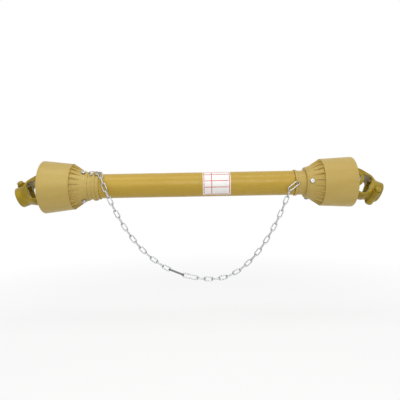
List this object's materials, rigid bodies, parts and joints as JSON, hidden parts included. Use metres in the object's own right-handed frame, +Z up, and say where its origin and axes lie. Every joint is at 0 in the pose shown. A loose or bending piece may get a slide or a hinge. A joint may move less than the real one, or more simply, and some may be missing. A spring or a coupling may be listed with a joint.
{
  "type": "universal joint shaft",
  "caption": "Telescoping drive shaft with a universal joint and a splined quick-release hub at each end, inside a two-part plastic guard with a retaining chain.",
  "frame": {"origin": "on the shaft's axis, in the middle of the guard tube, where a cradle holds it", "axes": "+X along the shaft from the outer guard half to the inner one, +Y to the back, +Z up"},
  "size_m": [0.8194, 0.118, 0.2698],
  "materials": {
    "guard_plastic": "satin moulded",
    "guard_tube_plastic": "extruded",
    "bearing_nylon": "moulded",
    "zinc_steel": "zinc plated",
    "label_film": "printed film",
    "yoke_paint": "gloss paint on a casting",
    "greased_steel": "greased",
    "seal_rubber": "matte",
    "ground_steel": "ground",
    "spring_steel": "oiled",
    "dark_wire": "dull zinc",
    "chain_zinc": "bright zinc"
  },
  "bodies": {
    "outer_guard": {"outer_guard_tube": "guard_tube_plastic", "left_guard_cone": "guard_plastic", "left_chain_collar": "guard_plastic", "left_bearing_ring": "bearing_nylon", "left_cone_screws": "zinc_steel", "blank_label": "label_film"},
    "inner_guard": {"inner_guard_tube": "guard_tube_plastic", "right_guard_cone": "guard_plastic", "right_chain_collar": "guard_plastic", "right_bearing_ring": "bearing_nylon", "right_cone_screws": "zinc_steel"},
    "left_drive": {"left_tube_yoke": "yoke_paint", "outer_profile_tube": "greased_steel", "left_roll_pin": "spring_steel", "left_tube_yoke_caps": "ground_steel", "left_tube_yoke_snap_rings": "spring_steel"},
    "right_drive": {"right_tube_yoke": "yoke_paint", "inner_profile_tube": "greased_steel", "right_roll_pin": "spring_steel", "right_tube_yoke_caps": "ground_steel", "right_tube_yoke_snap_rings": "spring_steel"},
    "left_cross": {"left_cross": "ground_steel", "left_cross_seals": "seal_rubber", "left_grease_nipple": "zinc_steel"},
    "left_end_yoke": {"left_end_yoke": "yoke_paint", "left_end_yoke_caps": "ground_steel", "left_end_yoke_snap_rings": "spring_steel", "left_pin_spring": "spring_steel"},
    "left_release_pin": {"left_release_pin": "ground_steel", "left_pin_retainer": "spring_steel"},
    "left_chain": {"left_collar_clip": "chain_zinc", "left_chain_links": "chain_zinc", "left_end_clip": "dark_wire"},
    "right_cross": {"right_cross": "ground_steel", "right_cross_seals": "seal_rubber", "right_grease_nipple": "zinc_steel"},
    "right_end_yoke": {"right_end_yoke": "yoke_paint", "right_end_yoke_caps": "ground_steel", "right_end_yoke_snap_rings": "spring_steel", "right_pin_spring": "spring_steel"},
    "right_release_pin": {"right_release_pin": "ground_steel", "right_pin_retainer": "spring_steel"},
    "right_chain": {"right_collar_clip": "chain_zinc", "right_chain_links": "chain_zinc", "right_end_clip": "chain_zinc"}
  },
  "joints": [
    {"name": "shaft_spin", "type": "hinge", "parent": "outer_guard", "child": "left_drive", "pos_m": [0, 0, 0], "axis": [1, 0, 0], "continuous": true},
    {"name": "shaft_slide", "type": "slide", "parent": "left_drive", "child": "right_drive", "axis": [1, 0, 0], "range_m": [0, 0.28]},
    {"name": "guard_slide", "type": "slide", "parent": "outer_guard", "child": "inner_guard", "axis": [1, 0, 0], "range_m": [0, 0.28]},
    {"name": "left_cross_tilt", "type": "hinge", "parent": "left_drive", "child": "left_cross", "pos_m": [-0.3415, 0, 0], "axis": [0, -0.9659, 0.2588], "range_deg": [-48, 4]},
    {"name": "left_yoke_swing", "type": "hinge", "parent": "left_cross", "child": "left_end_yoke", "pos_m": [-0.3415, 0, 0], "axis": [-0.3746, 0.24, 0.8956], "range_deg": [-26, 26]},
    {"name": "left_pin_press", "type": "slide", "parent": "left_end_yoke", "child": "left_release_pin", "axis": [0.2149, 0.6536, -0.7257], "range_m": [0, 0.0065], "stiffness_N_per_m": 2000, "springref_m": -0.004, "deforming": ["left_pin_spring"]},
    {"name": "right_cross_tilt", "type": "hinge", "parent": "right_drive", "child": "right_cross", "pos_m": [0.3415, 0, 0], "axis": [0, 0.9659, -0.2588], "range_deg": [-51, 1]},
    {"name": "right_yoke_swing", "type": "hinge", "parent": "right_cross", "child": "right_end_yoke", "pos_m": [0.3415, 0, 0], "axis": [0.4226, 0.2346, 0.8754], "range_deg": [-26, 26]},
    {"name": "right_pin_press", "type": "slide", "parent": "right_end_yoke", "child": "right_release_pin", "axis": [-0.224, 0.6948, -0.6834], "range_m": [0, 0.0065], "stiffness_N_per_m": 2000, "springref_m": -0.004, "deforming": ["right_pin_spring"]},
    {"name": "left_chain_swing", "type": "hinge", "parent": "outer_guard", "child": "left_chain", "pos_m": [-0.2317, -0.0186, 0.0256], "axis": [-0.9984, 0.0263, 0.0502], "range_deg": [0, 50]},
    {"name": "right_chain_swing", "type": "hinge", "parent": "inner_guard", "child": "right_chain", "pos_m": [0.2142, -0.03035, 0.00319], "axis": [-0.9984, 0.0263, 0.0502], "range_deg": [0, 50]}
  ],
  "couplings": [
    {"joint": "guard_slide", "follows": "shaft_slide", "ratio": 1},
    {"joint": "right_chain_swing", "follows": "left_chain_swing", "ratio": 1}
  ]
}
